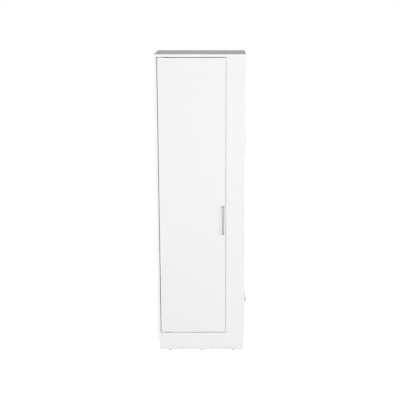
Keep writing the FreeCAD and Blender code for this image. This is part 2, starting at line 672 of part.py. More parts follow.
def hook_places():
    right = INNER_RIGHT - HOOK_PITCH / 2
    return [at(x, BATTEN_FRONT, (BATTEN_FOOT + BATTEN_TOP) / 2)
            for x in spread(right - HOOK_PITCH * (HOOK_COUNT - 1), right, HOOK_COUNT)]


def hook_screws():
    return [countersunk(place - Y_AXIS * HOOK_PLATE_THICKNESS + Z_AXIS * (side * HOOK_SCREW_OFFSET), Y_AXIS,
                        SMALL_SCREW_LENGTH) for place in hook_places() for side in (-1, 1)]


def tool_hook(place):
    """Round plate with a bent wire hook: straight out, a quarter turn up, a short round-ended tip."""
    root = place - Y_AXIS * HOOK_PLATE_THICKNESS
    bend_start = root - Y_AXIS * HOOK_SHANK
    bend_end = bend_start - Y_AXIS * HOOK_BEND + Z_AXIS * HOOK_BEND
    slant = HOOK_BEND * math.sin(math.radians(45))
    bend_middle = bend_start - Y_AXIS * slant + Z_AXIS * (HOOK_BEND - slant)
    tip = bend_end + Z_AXIS * HOOK_TIP
    path = Part.Wire([Part.makeLine(place, bend_start), Part.Arc(bend_start, bend_middle, bend_end).toShape(),
                      Part.makeLine(bend_end, tip)])
    section = Part.Wire([Part.makeCircle(HOOK_RADIUS, place, Y_AXIS * -1)])
    wire = path.makePipeShell([section], True, True)
    plate = rod(root, Y_AXIS, HOOK_PLATE_THICKNESS, HOOK_PLATE_RADIUS)
    ball = Part.makeSphere(HOOK_RADIUS, tip)
    return plate.multiFuse([wire, ball]).removeSplitter().cut(group(hook_screws()))


def bracket_screws():
    y = BACK_FRONT - BRACKET_LEG / 2
    return [countersunk(at(x, y, CEILING - BRACKET_THICKNESS), Z_AXIS, SMALL_SCREW_LENGTH)
            for x in BRACKET_PLACES]


def wall_bracket(x):
    """Steel angle under the ceiling, with the hole for the wall screw in its upright leg."""
    def section(forward, drop):
        return at(x - BRACKET_WIDTH / 2, BACK_FRONT - forward, CEILING - drop)

    outline = [section(0, 0), section(BRACKET_LEG, 0), section(BRACKET_LEG, BRACKET_THICKNESS),
               section(BRACKET_THICKNESS, BRACKET_THICKNESS), section(BRACKET_THICKNESS, BRACKET_LEG),
               section(0, BRACKET_LEG)]
    solid = prism(outline, X_AXIS * BRACKET_WIDTH)
    bend = [e for e in solid.Edges if e.BoundBox.XLength > BRACKET_WIDTH - TINY
            and abs(e.BoundBox.YMin - BACK_FRONT + BRACKET_THICKNESS) < TINY
            and abs(e.BoundBox.ZMin - CEILING + BRACKET_THICKNESS) < TINY]
    return solid.makeFillet(BRACKET_THICKNESS, bend).cut(group(wall_holes() + bracket_screws()))


def inside_fittings():
    return {
        "broom_clips": group([broom_clip(place) for place in clip_places()]),
        "clip_screws": group(clip_screws()),
        "tool_hooks": group([tool_hook(place) for place in hook_places()]),
        "hook_screws": group(hook_screws()),
        "wall_brackets": group([wall_bracket(x) for x in BRACKET_PLACES]),
        "bracket_screws": group(bracket_screws()),
    }


# ---------------------------------------------------------------- catch

def catch_screws():
    y = CATCH_FRONT + CATCH_DEPTH / 2
    return [countersunk(at(STILE_LEFT - CATCH_WIDTH, y, CATCH_LEVEL + side * CATCH_SCREW_OFFSET), X_AXIS,
                        CATCH_WIDTH + CATCH_SCREW_BITE) for side in (-1, 1)]


def catch():
    """Magnetic catch on the stile's edge: a plastic case, open at the front for its magnet."""
    x = (STILE_LEFT - CATCH_WIDTH, STILE_LEFT)
    middle = STILE_LEFT - CATCH_WIDTH / 2
    case_block = eased(block(x, (CATCH_FRONT, CATCH_FRONT + CATCH_DEPTH),
                             (CATCH_LEVEL - CATCH_HEIGHT / 2, CATCH_LEVEL + CATCH_HEIGHT / 2)))
    magnet = block((middle - MAGNET_WIDTH / 2, middle + MAGNET_WIDTH / 2),
                   (CATCH_FRONT, CATCH_FRONT + MAGNET_DEPTH),
                   (CATCH_LEVEL - MAGNET_HEIGHT / 2, CATCH_LEVEL + MAGNET_HEIGHT / 2))
    return {
        "catch_case": case_block.cut(group([magnet] + catch_screws())),
        "catch_magnet": magnet,
        "catch_screws": group(catch_screws()),
    }


def strike_screws():
    x = STILE_LEFT - CATCH_WIDTH / 2
    y = DOOR_BACK + STRIKE_THICKNESS
    return [countersunk(at(x, y, CATCH_LEVEL + side * STRIKE_SCREW_OFFSET), Y_AXIS * -1,
                        STRIKE_SCREW_LENGTH) for side in (-1, 1)]


def strike_plate():
    middle = STILE_LEFT - CATCH_WIDTH / 2
    plate = block((middle - STRIKE_WIDTH / 2, middle + STRIKE_WIDTH / 2),
                  (DOOR_BACK, DOOR_BACK + STRIKE_THICKNESS),
                  (CATCH_LEVEL - STRIKE_HEIGHT / 2, CATCH_LEVEL + STRIKE_HEIGHT / 2))
    return plate.cut(group(strike_screws()))


# ---------------------------------------------------------------- door

def bumpers():
    x = STILE_LEFT + STILE_OVERLAP / 2
    return [Part.makeCone(BUMPER_RADIUS, BUMPER_RADIUS - BUMPER_TAPER, BUMPER_THICKNESS,
                          at(x, DOOR_BACK, z), Y_AXIS)
            for z in spread(DOOR_FOOT + BUMPER_END, DOOR_TOP - BUMPER_END, BUMPER_COUNT)]


def door():
    """Door board with its pivot pockets and screw holes, and what is fixed to it."""
    pockets = [pivot_plate_blank(DOOR_FOOT, Z_AXIS * -1), pivot_plate_blank(DOOR_TOP, Z_AXIS),
               socket_blank(DOOR_FOOT, Z_AXIS), socket_blank(DOOR_TOP, Z_AXIS * -1)]
    screws = pivot_screws(DOOR_FOOT, Z_AXIS * -1) + pivot_screws(DOOR_TOP, Z_AXIS)
    bow_screws = [bow_screw(-1), bow_screw(1)]
    panel = board((DOOR_LEFT, DOOR_RIGHT), (FRONT, DOOR_BACK), (DOOR_FOOT, DOOR_TOP))
    return {
        "door_panel": panel.cut(group(pockets + screws + bow_screws + strike_screws())),
        "bow_handle": bow_handle(),
        "bow_screws": group(bow_screws),
        "door_bumpers": group(bumpers()),
        "strike_plate": strike_plate(),
        "strike_screws": group(strike_screws()),
    }


def side_pull():
    return {
        "side_pull": profile_pull(),
        "side_pull_screws": group(pull_screws()),
    }


def main():
    os.makedirs("parts", exist_ok=True)
    for section in (case, connectors, plinth, inside_fittings, catch, side_pull, pivots, door):
        for name, shape in section().items():
            shape.translate(ORIGIN_SHIFT)
            shape.exportStep("parts/" + name + ".step")


main()
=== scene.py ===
"""Looks of a tall broom cupboard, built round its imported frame: finishes, small fittings, light and camera.

Metres throughout. X points to the right, Y to the back and Z up, with the floor at Z = 0.
"""

import json
import logging
import math
from collections.abc import Mapping, Sequence
from dataclasses import dataclass, replace
from enum import Enum
from functools import reduce
from typing import Any

import bmesh
import bpy
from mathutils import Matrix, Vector

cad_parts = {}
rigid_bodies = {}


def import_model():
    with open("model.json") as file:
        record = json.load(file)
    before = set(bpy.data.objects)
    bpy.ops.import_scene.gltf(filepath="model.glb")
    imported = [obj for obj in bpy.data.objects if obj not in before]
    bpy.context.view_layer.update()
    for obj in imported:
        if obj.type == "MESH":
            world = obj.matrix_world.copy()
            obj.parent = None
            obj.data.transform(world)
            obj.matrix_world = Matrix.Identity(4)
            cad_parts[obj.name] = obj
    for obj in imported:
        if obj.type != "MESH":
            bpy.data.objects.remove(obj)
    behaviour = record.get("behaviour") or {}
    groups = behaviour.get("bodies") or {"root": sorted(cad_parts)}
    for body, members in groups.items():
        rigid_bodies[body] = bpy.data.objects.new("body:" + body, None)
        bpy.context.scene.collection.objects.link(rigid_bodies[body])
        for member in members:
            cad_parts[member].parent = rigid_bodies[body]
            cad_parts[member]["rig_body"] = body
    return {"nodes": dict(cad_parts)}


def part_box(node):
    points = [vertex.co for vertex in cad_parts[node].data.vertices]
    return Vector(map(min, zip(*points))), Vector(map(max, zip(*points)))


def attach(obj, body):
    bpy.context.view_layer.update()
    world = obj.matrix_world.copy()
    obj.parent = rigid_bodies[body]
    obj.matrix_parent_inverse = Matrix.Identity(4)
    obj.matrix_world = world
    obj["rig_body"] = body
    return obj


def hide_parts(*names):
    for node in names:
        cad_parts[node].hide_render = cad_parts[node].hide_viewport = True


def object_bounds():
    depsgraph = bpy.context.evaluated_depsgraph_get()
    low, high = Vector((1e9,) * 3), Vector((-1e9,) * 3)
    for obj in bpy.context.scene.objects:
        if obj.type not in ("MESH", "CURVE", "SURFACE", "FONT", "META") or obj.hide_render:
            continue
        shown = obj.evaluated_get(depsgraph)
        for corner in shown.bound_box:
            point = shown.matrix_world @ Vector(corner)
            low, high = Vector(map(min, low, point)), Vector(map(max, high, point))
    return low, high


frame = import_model()
CAD_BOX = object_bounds()
SNAP = 1e-4                   # distance at which two places count as one
WELD = 1e-6                   # distance at which two corners of a mesh are merged
DIGITS = 5                    # decimals kept of places that are compared or sorted
SIDE_STEP = (0.6, 0.8)        # how squarely a surface faces a side: where the step starts and ends
WHITE = (1.0, 1.0, 1.0)
SHOWN_TO = ("Is Camera Ray", "Is Glossy Ray", "Is Transmission Ray")      # rays that see the background

Tint = tuple[float, float, float]
Pair = tuple[float, float]
Box = tuple[Vector, Vector]
Socket = bpy.types.NodeSocket
log = logging.getLogger("broom_cupboard")


class Axis(Enum):
    """Direction in which a piece is long or its grain runs."""

    X = 0
    Y = 1
    Z = 2

    def spread(self, along: float, beside: float) -> Tint:
        """Three parts, with one value along this axis and another beside it."""
        return tuple(along if i == self.value else beside for i in range(3))


class Edge(Enum):
    """Side of a board: its axis, and whether it is the far end of that axis."""

    LEFT = (0, False)
    RIGHT = (0, True)
    FRONT = (1, False)
    REAR = (1, True)
    FOOT = (2, False)
    TOP = (2, True)


class Head(Enum):
    """Shape of a screw's head."""

    COUNTERSUNK = "countersunk"
    PAN = "pan"


# ---------------- shader maths

class Num:
    """A number in a node socket. Arithmetic on it adds Math nodes."""

    def __init__(self, graph: "Graph", socket: Socket) -> None:
        """Wrap one socket of a graph."""
        self.graph = graph
        self.socket = socket

    def __add__(self, other: "Num | float") -> "Num":
        """Sum."""
        return self.graph.math("ADD", self, other)

    def __radd__(self, other: float) -> "Num":
        """Sum with a plain number first."""
        return self.graph.math("ADD", other, self)

    def __sub__(self, other: "Num | float") -> "Num":
        """Difference."""
        return self.graph.math("SUBTRACT", self, other)

    def __rsub__(self, other: float) -> "Num":
        """Difference from a plain number."""
        return self.graph.math("SUBTRACT", other, self)

    def __mul__(self, other: "Num | float") -> "Num":
        """Product."""
        return self.graph.math("MULTIPLY", self, other)

    def __rmul__(self, other: float) -> "Num":
        """Product with a plain number first."""
        return self.graph.math("MULTIPLY", other, self)

    def __abs__(self) -> "Num":
        """Size without its sign."""
        return self.graph.math("ABSOLUTE", self)


class Graph:
    """Node tree of one material or world."""

    def __init__(self, owner: bpy.types.Material | bpy.types.World) -> None:
        """Empty the owner's node tree and keep it at hand.

        Args:
            owner: The material or world.
        """
        owner.use_nodes = True
        self.tree = owner.node_tree
        self.tree.nodes.clear()

    def feed(self, socket: Socket, value: Any) -> None:
        """Give a socket its link or its own value.

        Args:
            socket: The input to set.
            value: A Num, a socket, a tint or a number.
        """
        source = value.socket if isinstance(value, Num) else value
        if isinstance(source, Socket):
            self.tree.links.new(source, socket)
        elif socket.type == "RGBA":
            socket.default_value = (*source, 1.0)
        else:
            socket.default_value = source

    def add(self, kind: str, settings: Mapping[str, Any] | None = None,
            inputs: Mapping[str | int, Any] | None = None) -> bpy.types.Node:
        """Add any node.

        Args:
            kind: The node's type, without its ShaderNode prefix.
            settings: Its properties, set first; "stops" holds a ramp's (place, tint) pairs.
            inputs: Values or links of its sockets, by name or number.

        Returns:
            The new node.
        """
        node = self.tree.nodes.new("ShaderNode" + kind)
        for key, value in (settings or {}).items():
            if key == "stops":
                for index, (place, tint) in enumerate(value):
                    known = index < len(node.color_ramp.elements)
                    stop = node.color_ramp.elements[index] if known else node.color_ramp.elements.new(place)
                    stop.position = place
                    stop.color = (*tint, 1.0)
            else:
                setattr(node, key, value)
        for key, value in (inputs or {}).items():
            self.feed(node.inputs[key], value)
        return node

    def math(self, operation: str, *values: "Num | float") -> Num:
        """Add a Math node for an operation on one, two or three values, and return its result."""
        node = self.add("Math", {"operation": operation}, dict(enumerate(values)))
        return Num(self, node.outputs[0])

    def smooth(self, value: Num, low: float, high: float) -> Num:
        """Soft step.

        Args:
            value: What is compared.
            low: Where the step leaves 0.
            high: Where it reaches 1.

        Returns:
            0 below low, 1 above high.
        """
        node = self.add("MapRange", {"interpolation_type": "SMOOTHSTEP"},
                        {"Value": value, "From Min": low, "From Max": high})
        return Num(self, node.outputs[0])

    def least(self, values: Sequence[Num]) -> Num:
        """Smallest of some numbers."""
        return reduce(lambda first, second: self.math("MINIMUM", first, second), values)

    def most(self, values: Sequence[Num]) -> Num:
        """Largest of some numbers."""
        return reduce(lambda first, second: self.math("MAXIMUM", first, second), values)

    def mix(self, factor: Num | float, first: Tint | Socket, second: Tint | Socket) -> Socket:
        """Blend from a first colour at factor 0 to a second at factor 1."""
        node = self.add("Mix", {"data_type": "RGBA"}, {0: factor, 6: first, 7: second})
        return node.outputs[2]

    def split(self, vector: Socket) -> tuple[Num, Num, Num]:
        """The three parts of a vector."""
        node = self.add("SeparateXYZ", inputs={0: vector})
        return tuple(Num(self, output) for output in node.outputs)

    def place(self) -> Socket:
        """Place on the piece, which stays with it when it moves."""
        return self.add("TexCoord").outputs["Object"]

    def facing(self) -> tuple[Num, Num, Num]:
        """Parts of the surface's direction, in the piece's own frame."""
        return self.split(self.add("TexCoord").outputs["Normal"])

    def stretched(self, vector: Socket, scale: Tint) -> Socket:
        """Vector with each part times its own scale."""
        return self.add("VectorMath", {"operation": "MULTIPLY"}, {0: vector, 1: scale}).outputs[0]

    def noise(self, vector: Socket, scale: float, detail: float = 2.0, distortion: float = 0.0) -> Num:
        """Cloudy pattern.

        Args:
            vector: Where it is read.
            scale: Patches per metre.
            detail: Layers of finer pattern.
            distortion: How much it swirls.

        Returns:
            A number about 0.5.
        """
        node = self.add("TexNoise", inputs={"Vector": vector, "Scale": scale, "Detail": detail,
                                            "Distortion": distortion})
        return Num(self, node.outputs[0])

    def surface(self, colour: Tint | Socket, roughness: Num | float, height: Num | None = None,
                constants: Mapping[str, Any] | None = None) -> None:
        """End the tree with a Principled surface.

        Args:
            colour: Base colour.
            roughness: Roughness.
            height: Relief in metres.
            constants: Values that are the same all over.
        """
        inputs = {"Base Color": colour, "Roughness": roughness, **(constants or {})}
        if height is not None:
            inputs["Normal"] = self.add("Bump", inputs={"Distance": 1.0, "Height": height}).outputs[0]
        shader = self.add("BsdfPrincipled", inputs=inputs)
        self.add("OutputMaterial", inputs={"Surface": shader.outputs[0]})


def new_material(name: str) -> tuple[bpy.types.Material, Graph, Socket]:
    """Start a material.

    Args:
        name: The material's name.

    Returns:
        The material, its empty node tree, and the place on its piece.
    """
    result = bpy.data.materials.new(name)
    graph = Graph(result)
    return result, graph, graph.place()


# ---------------- finishes

@dataclass(frozen=True)
class Chipboard:
    """Raw chipboard, as it shows in cuts and on bare edges."""

    pale: Tint = (0.60, 0.45, 0.29)
    middle: Tint = (0.45, 0.31, 0.18)
    dark: Tint = (0.20, 0.12, 0.06)
    middle_stop: float = 0.35
    chip: float = 0.0022
    chip_share: float = 0.7
    fibres_per_chip: float = 3.0
    fibre_share: float = 0.4
    relief: float = 1.2e-4

    def layers(self, graph: Graph, place: Socket) -> tuple[Socket, Num]:
        """Pressed chips.

        Args:
            graph: The tree to add to.
            place: Where the pattern is read.

        Returns:
            The chips' colour and relief.
        """
        chips = graph.add("TexVoronoi", inputs={"Vector": place, "Scale": 1.0 / self.chip})
        shade, _, _ = graph.split(chips.outputs["Color"])
        fibre = graph.noise(place, self.fibres_per_chip / self.chip, detail=4.0)
        stops = [(0.0, self.dark), (self.middle_stop, self.middle), (1.0, self.pale)]
        level = shade * self.chip_share + fibre * self.fibre_share
        ramp = graph.add("ValToRGB", {"stops": stops}, {0: level})
        return ramp.outputs[0], (shade + fibre) * self.relief


@dataclass(frozen=True)
class Melamine:
    """White melamine-faced board with eased edge bands, and raw chips in its cuts and on its bare edges."""

    tone: Tint = (0.885, 0.886, 0.882)
    band_tone: Tint = (0.905, 0.906, 0.903)
    seam_tone: Tint = (0.50, 0.47, 0.42)
    scuff_tone: Tint = (0.55, 0.53, 0.50)
    roughness: float = 0.47
    band_roughness: float = 0.36
    raw_roughness: float = 0.35       # added where the chips are bare
    band: float = 0.001
    seam: float = 0.00011
    seam_share: float = 0.7
    peel: float = 0.0008
    peel_relief: float = 9e-6
    seam_relief: float = 4e-5
    skin: float = 0.0003
    scuff_height: float = 0.045
    scuff_patches: float = 26.0
    scuff_stretch: Tint = (1.0, 1.0, 3.0)
    scuff_step: Pair = (0.50, 0.66)
    scuff_share: float = 0.35
    hand_patches: float = 7.0
    hand_share: float = 0.08
    chips: Chipboard = Chipboard()

    def depth(self, graph: Graph, parts: Sequence[Num], box: Box) -> Num:
        """How far inside the board's box a point lies.

        Args:
            graph: The tree to add to.
            parts: The point's X, Y and Z.
            box: The board's corners.

        Returns:
            The distance to the nearest side, about 0 on the outer faces.
        """
        middle = (box[0] + box[1]) / 2
        half = (box[1] - box[0]) / 2
        return graph.least([half[i] - abs(parts[i] - middle[i]) for i in range(3)])

    def to_edges(self, graph: Graph, parts: Sequence[Num], box: Box, edges: Sequence[Edge]) -> Num:
        """Distance to the nearest of some edges of the board's box."""
        return graph.least([(box[1][axis] - parts[axis]) if far else (parts[axis] - box[0][axis])
                            for axis, far in (edge.value for edge in edges)])

    def material(self, name: str, box: Box, bare: Sequence[Edge] = (), skin: float | None = None,
                 scuffed: bool = False) -> bpy.types.Material:
        """Finish of one board.

        Args:
            name: The material's name.
            box: The board's corners.
            bare: Edges with no band.
            skin: Depth that still counts as the outer face, where the board has a rebate.
            scuffed: Whether its foot is marked by shoes and mops.

        Returns:
            The material.
        """
        result, graph, place = new_material(name)
        parts = graph.split(place)
        facing = graph.facing()
        size = box[1] - box[0]
        thin = min(range(3), key=lambda i: size[i])
        banded = [edge for edge in Edge if edge.value[0] != thin and edge not in bare]
        start = self.skin if skin is None else skin
        cuts = [graph.smooth(self.depth(graph, parts, box), start, start + self.skin)]
        cuts += [graph.smooth(facing[axis] if far else 0.0 - facing[axis], *SIDE_STEP)
                 for axis, far in (edge.value for edge in bare)]
        raw = graph.most(cuts)
        distance = self.to_edges(graph, parts, box, banded)
        band = 1.0 - graph.smooth(distance, self.band - self.seam, self.band + self.seam)
        seam = 1.0 - graph.smooth(abs(distance - self.band), self.seam / 2, self.seam)
        chip_colour, chip_relief = self.chips.layers(graph, place)
        face = graph.mix(seam * self.seam_share, graph.mix(band, self.tone, self.band_tone), self.seam_tone)
        if scuffed:
            low_down = 1.0 - graph.smooth(parts[2], box[0].z, box[0].z + self.scuff_height)
            smears = graph.noise(graph.stretched(place, self.scuff_stretch), self.scuff_patches, detail=5.0)
            marks = graph.smooth(smears, *self.scuff_step)
            face = graph.mix(low_down * marks * self.scuff_share, face, self.scuff_tone)
        peel = graph.noise(place, 1.0 / self.peel, detail=1.0)
        hands = graph.noise(place, self.hand_patches, detail=3.0)
        touched = self.roughness + (hands - 0.5) * self.hand_share
        gloss = touched - band * (self.roughness - self.band_roughness)
        relief = (1.0 - raw) * (peel * self.peel_relief - seam * self.seam_relief) + raw * chip_relief
        graph.surface(graph.mix(raw, face, chip_colour), gloss + raw * self.raw_roughness, relief)
        return result


@dataclass(frozen=True)
class Hardboard:
    """Thin back board: white foil in front, bare brown fibres behind and in its cuts."""

    foil: Tint = (0.87, 0.87, 0.865)
    pale: Tint = (0.30, 0.185, 0.10)
    dark: Tint = (0.17, 0.095, 0.05)
    roughness: float = 0.74
    foil_gloss: float = 0.22          # taken off the roughness where the foil is
    fibres: float = 900.0
    fibre_stretch: Tint = (1.0, 1.0, 0.35)
    fibre_swirl: float = 0.6
    fibre_share: float = 0.7
    clouds: float = 22.0
    relief: float = 2.5e-5
    foil_cover: float = 0.8           # share of the relief that the foil hides

    def material(self, name: str) -> bpy.types.Material:
        """Finish of the back panel.

        Args:
            name: The material's name.

        Returns:
            The material.
        """
        result, graph, place = new_material(name)
        _, facing_back, _ = graph.facing()
        foil = graph.smooth(0.0 - facing_back, *SIDE_STEP)
        drawn = graph.stretched(place, self.fibre_stretch)
        fibres = graph.noise(drawn, self.fibres, detail=4.0, distortion=self.fibre_swirl)
        clouds = graph.noise(place, self.clouds, detail=3.0)
        shade = fibres * self.fibre_share + clouds * (1.0 - self.fibre_share)
        brown = graph.mix(shade, self.dark, self.pale)
        relief = fibres * self.relief * (1.0 - foil * self.foil_cover)
        graph.surface(graph.mix(foil, brown, self.foil), self.roughness - foil * self.foil_gloss, relief)
        return result


@dataclass(frozen=True)
class Metal:
    """Metal with brushed streaks or plating patches."""

    tone: Tint
    patch_tone: Tint
    roughness: float
    streaks: Tint = (500.0, 500.0, 500.0)
    streak_share: float = 0.12
    relief: float = 2e-6
    patch_size: float = 0.004
    patch_share: float = 0.5
    patch_step: Pair = (0.35, 0.7)
    patch_dulling: float = 0.04
    brush_across: float = 2600.0      # streaks per metre across the brushing
    brush_along: float = 25.0         # streaks per metre along it

    def material(self, name: str) -> bpy.types.Material:
        """Finish of a metal piece.

        Args:
            name: The material's name.

        Returns:
            The material.
        """
        result, graph, place = new_material(name)
        streak = graph.noise(graph.stretched(place, self.streaks), 1.0, detail=3.0)
        patch = graph.smooth(graph.noise(place, 1.0 / self.patch_size), *self.patch_step)
        colour = graph.mix(patch * self.patch_share, self.tone, self.patch_tone)
        roughness = self.roughness + (streak - 0.5) * self.streak_share + patch * self.patch_dulling
        graph.surface(colour, roughness, streak * self.relief, {"Metallic": 1.0})
        return result

    def along(self, axis: Axis) -> "Metal":
        """The same metal brushed in one direction."""
        return replace(self, streaks=axis.spread(self.brush_along, self.brush_across))


@dataclass(frozen=True)
class Moulded:
    """Moulded plastic, rubber or sintered magnet, with a fine spark grain."""

    tone: Tint
    roughness: float
    grain: float = 0.0006
    relief: float = 1.2e-5
    grain_share: float = 0.12
    clouds: float = 60.0
    speck: float = 0.06
    transmission: float = 0.0

    def material(self, name: str) -> bpy.types.Material:
        """Finish of a moulded piece.

        Args:
            name: The material's name.

        Returns:
            The material.
        """
        result, graph, place = new_material(name)
        grain = graph.noise(place, 1.0 / self.grain)
        cloud = graph.noise(place, self.clouds)
        darker = tuple(part * (1.0 - self.speck) for part in self.tone)
        colour = graph.mix(cloud, self.tone, darker)
        graph.surface(colour, self.roughness + (grain - 0.5) * self.grain_share, grain * self.relief,
                      {"Transmission Weight": self.transmission})
        return result


@dataclass(frozen=True)
class Beech:
    """Steamed beech: even pinkish wood with short dark flecks."""

    pale: Tint = (0.60, 0.41, 0.25)
    dark: Tint = (0.46, 0.29, 0.165)
    fleck: Tint = (0.27, 0.145, 0.075)
    grain: Axis = Axis.Z
    rings: float = 170.0
    ring_draw: float = 0.06
    ring_swirl: float = 0.8
    ring_step: Pair = (0.32, 0.68)
    flecks: float = 1500.0
    fleck_draw: float = 0.14
    fleck_step: Pair = (0.66, 0.74)
    fleck_share: float = 0.8
    fleck_relief: float = 2e-5
    pores: float = 3200.0
    pore_share: float = 0.15
    pore_relief: float = 2.5e-5
    roughness: float = 0.58

    def material(self, name: str) -> bpy.types.Material:
        """Finish of a beech piece.

        Args:
            name: The material's name.

        Returns:
            The material.
        """
        result, graph, place = new_material(name)
        slow = graph.stretched(place, self.grain.spread(self.ring_draw, 1.0))
        years = graph.noise(slow, self.rings, detail=3.0, distortion=self.ring_swirl)
        rings = graph.smooth(years, *self.ring_step)
        dashes = graph.stretched(place, self.grain.spread(self.fleck_draw, 1.0))
        flecks = graph.smooth(graph.noise(dashes, self.flecks, detail=1.0), *self.fleck_step)
        pores = graph.noise(dashes, self.pores)
        wood = graph.mix(rings, self.pale, self.dark)
        graph.surface(graph.mix(flecks * self.fleck_share, wood, self.fleck),
                      self.roughness + pores * self.pore_share,
                      pores * self.pore_relief - flecks * self.fleck_relief)
        return result


# ---------------- mesh making

@dataclass(frozen=True)
class Turned:
    """One round solid of a CAD group: the middle of its wide end, its direction and its outline."""

    start: Vector
    way: Vector
    outline: tuple[Pair, ...]

    @property
    def length(self) -> float:
        """Distance from its wide end to its tip."""
        return self.outline[-1][0]

    @property
    def widest(self) -> float:
        """Largest radius."""
        return max(radius for _, radius in self.outline)

    @property
    def tip_radius(self) -> float:
        """Radius at its tip."""
        return self.outline[-1][1]


def extent(points: Sequence[Vector]) -> Box:
    """Lowest and highest corner of some points."""
    return tuple(Vector([pick(p[i] for p in points) for i in range(3)]) for pick in (min, max))


def islands(node: str) -> list[list[Vector]]:
    """Corners of each separate solid of a CAD node.

    Args:
        node: The node's name.

    Returns:
        One list of points for each solid, in a fixed order.
    """
    work = bmesh.new()
    work.from_mesh(frame["nodes"][node].data)
    bmesh.ops.remove_doubles(work, verts=work.verts, dist=WELD)
    found = []
    seen = set()
    for vertex in work.verts:
        if vertex in seen:
            continue
        seen.add(vertex)
        group = [vertex]
        for member in group:
            for edge in member.link_edges:
                other = edge.other_vert(member)
                if other not in seen:
                    seen.add(other)
                    group.append(other)
        found.append([member.co.copy() for member in group])
    work.free()
    return sorted(found, key=lambda points: tuple(round(sum(p[i] for p in points) / len(points), DIGITS)
                                                  for i in (2, 0, 1)))


def turned_from(points: Sequence[Vector], axis: Axis) -> Turned:
    """Read one round solid from its corners.

    Args:
        points: The solid's corners.
        axis: Direction of its axis.

    Returns:
        Its place, direction and outline, wide end first.
    """
    low, high = extent(points)
    middle = (low + high) / 2
    near = low[axis.value]
    length = high[axis.value] - near
    way = Vector(axis.spread(1.0, 0.0))
    pairs = set()
    for point in points:
        off = point - middle
        off[axis.value] = 0.0
        pairs.add((round(point[axis.value] - near, DIGITS), round(off.length, DIGITS)))
    first = max(radius for along, radius in pairs if along < SNAP)
    last = max(radius for along, radius in pairs if along > length - SNAP)
    start = middle.copy()
    start[axis.value] = near
    if last <= first:
        return Turned(start, way, tuple(sorted(pairs)))
    start[axis.value] = near + length
    turned_round = sorted((round(length - along, DIGITS), radius) for along, radius in pairs)
    return Turned(start, -way, tuple(turned_round))


class Workpiece:
    """Mesh being made, ring by ring."""

    def __init__(self) -> None:
        """Start with no points and no faces."""
        self.points: list[Vector] = []
        self.faces: list[tuple[int, ...]] = []

    def row(self, points: Sequence[Vector]) -> list[int]:
        """Add points and return their numbers."""
        self.points.extend(points)
        return list(range(len(self.points) - len(points), len(self.points)))

    def skin(self, rows: Sequence[Sequence[int]]) -> None:
        """Close the bands between rings.

        Args:
            rows: Point numbers of each ring, as many in each.
        """
        for lower, upper in zip(rows, rows[1:]):
            for i in range(len(lower)):
                j = (i + 1) % len(lower)
                self.faces.append((lower[i], lower[j], upper[j], upper[i]))

    def cap(self, ring: Sequence[int], middle: Vector) -> None:
        """Close a ring with a fan round its middle."""
        centre = self.row([middle])[0]
        self.faces.extend((ring[i], ring[(i + 1) % len(ring)], centre) for i in range(len(ring)))

    def turn(self, solid: Turned, outline: Sequence[Pair], sides: int) -> list[list[int]]:
        """Turn an outline round a solid's axis.

        Args:
            solid: Gives the start and the direction.
            outline: (distance along the axis, radius) pairs.
            sides: Points in each ring.

        Returns:
            The rings' point numbers.
        """
        u, v = across(solid.way)
        turns = [2 * math.pi * k / sides for k in range(sides)]
        rows = []
        for along, radius in outline:
            middle = solid.start + solid.way * along
            rows.append(self.row([middle + (u * math.cos(a) + v * math.sin(a)) * radius for a in turns]))
        self.skin(rows)
        return rows

    def block(self, low: Vector, high: Vector, bevel: float) -> None:
        """Add a block with bevelled edges.

        Args:
            low: Its lowest corner.
            high: Its highest corner.
            bevel: Width of the bevels.
        """
        work = bmesh.new()
        bmesh.ops.create_cube(work, size=1.0)
        for vertex in work.verts:
            vertex.co = Vector([low[i] + (vertex.co[i] + 0.5) * (high[i] - low[i]) for i in range(3)])
        bmesh.ops.bevel(work, geom=work.edges[:], offset=bevel, segments=2, profile=0.5, affect="EDGES")
        work.verts.index_update()
        first = len(self.points)
        self.points.extend(vertex.co.copy() for vertex in work.verts)
        self.faces.extend(tuple(first + vertex.index for vertex in face.verts) for face in work.faces)
        work.free()

    def piece(self, name: str, material: bpy.types.Material, stands_for: str | None = None,
              body: str | None = None, slot: str | None = None, crease: float = 32.0) -> bpy.types.Object:
        """Turn the mesh into a piece that rides with its body.

        Args:
            name: The piece's name.
            material: Its finish.
            stands_for: The CAD node that it replaces, whose body it takes.
            body: The body that it rides on, where it replaces nothing.
            slot: Not used.
            crease: Angle in degrees above which an edge stays sharp.

        Returns:
            The new object.
        """
        mesh = bpy.data.meshes.new(name)
        mesh.from_pydata([tuple(point) for point in self.points], [], self.faces)
        work = bmesh.new()
        work.from_mesh(mesh)
        bmesh.ops.recalc_face_normals(work, faces=work.faces)
        work.to_mesh(mesh)
        work.free()
        mesh.shade_smooth()
        mesh.set_sharp_from_angle(angle=math.radians(crease))
        mesh.materials.append(material)
        result = add_object(name, mesh)
        if stands_for:
            node = frame["nodes"][stands_for]
            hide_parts(stands_for)
            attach(result, node["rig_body"])
            node_slot(stands_for)
        else:
            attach(result, body)
        return result


def across(way: Vector) -> tuple[Vector, Vector]:
    """Find two directions square to a third.

    Args:
        way: The third direction, of length 1.

    Returns:
        The two, square to each other.
    """
    other = Vector((0.0, 0.0, 1.0)) if abs(way.z) < 0.5 else Vector((1.0, 0.0, 0.0))
    u = way.cross(other).normalized()
    return u, way.cross(u)


def add_object(name: str, data: bpy.types.ID) -> bpy.types.Object:
    """Put an object into the scene.

    Args:
        name: The object's name.
        data: Its mesh, light or camera.

    Returns:
        The new object.
    """
    result = bpy.data.objects.new(name, data)
    bpy.context.scene.collection.objects.link(result)
    return result


def node_slot(node: str) -> str:
    """Material slot that the record gives a CAD node."""
    return frame["nodes"][node].material_slots[0].name.split(".")[0]


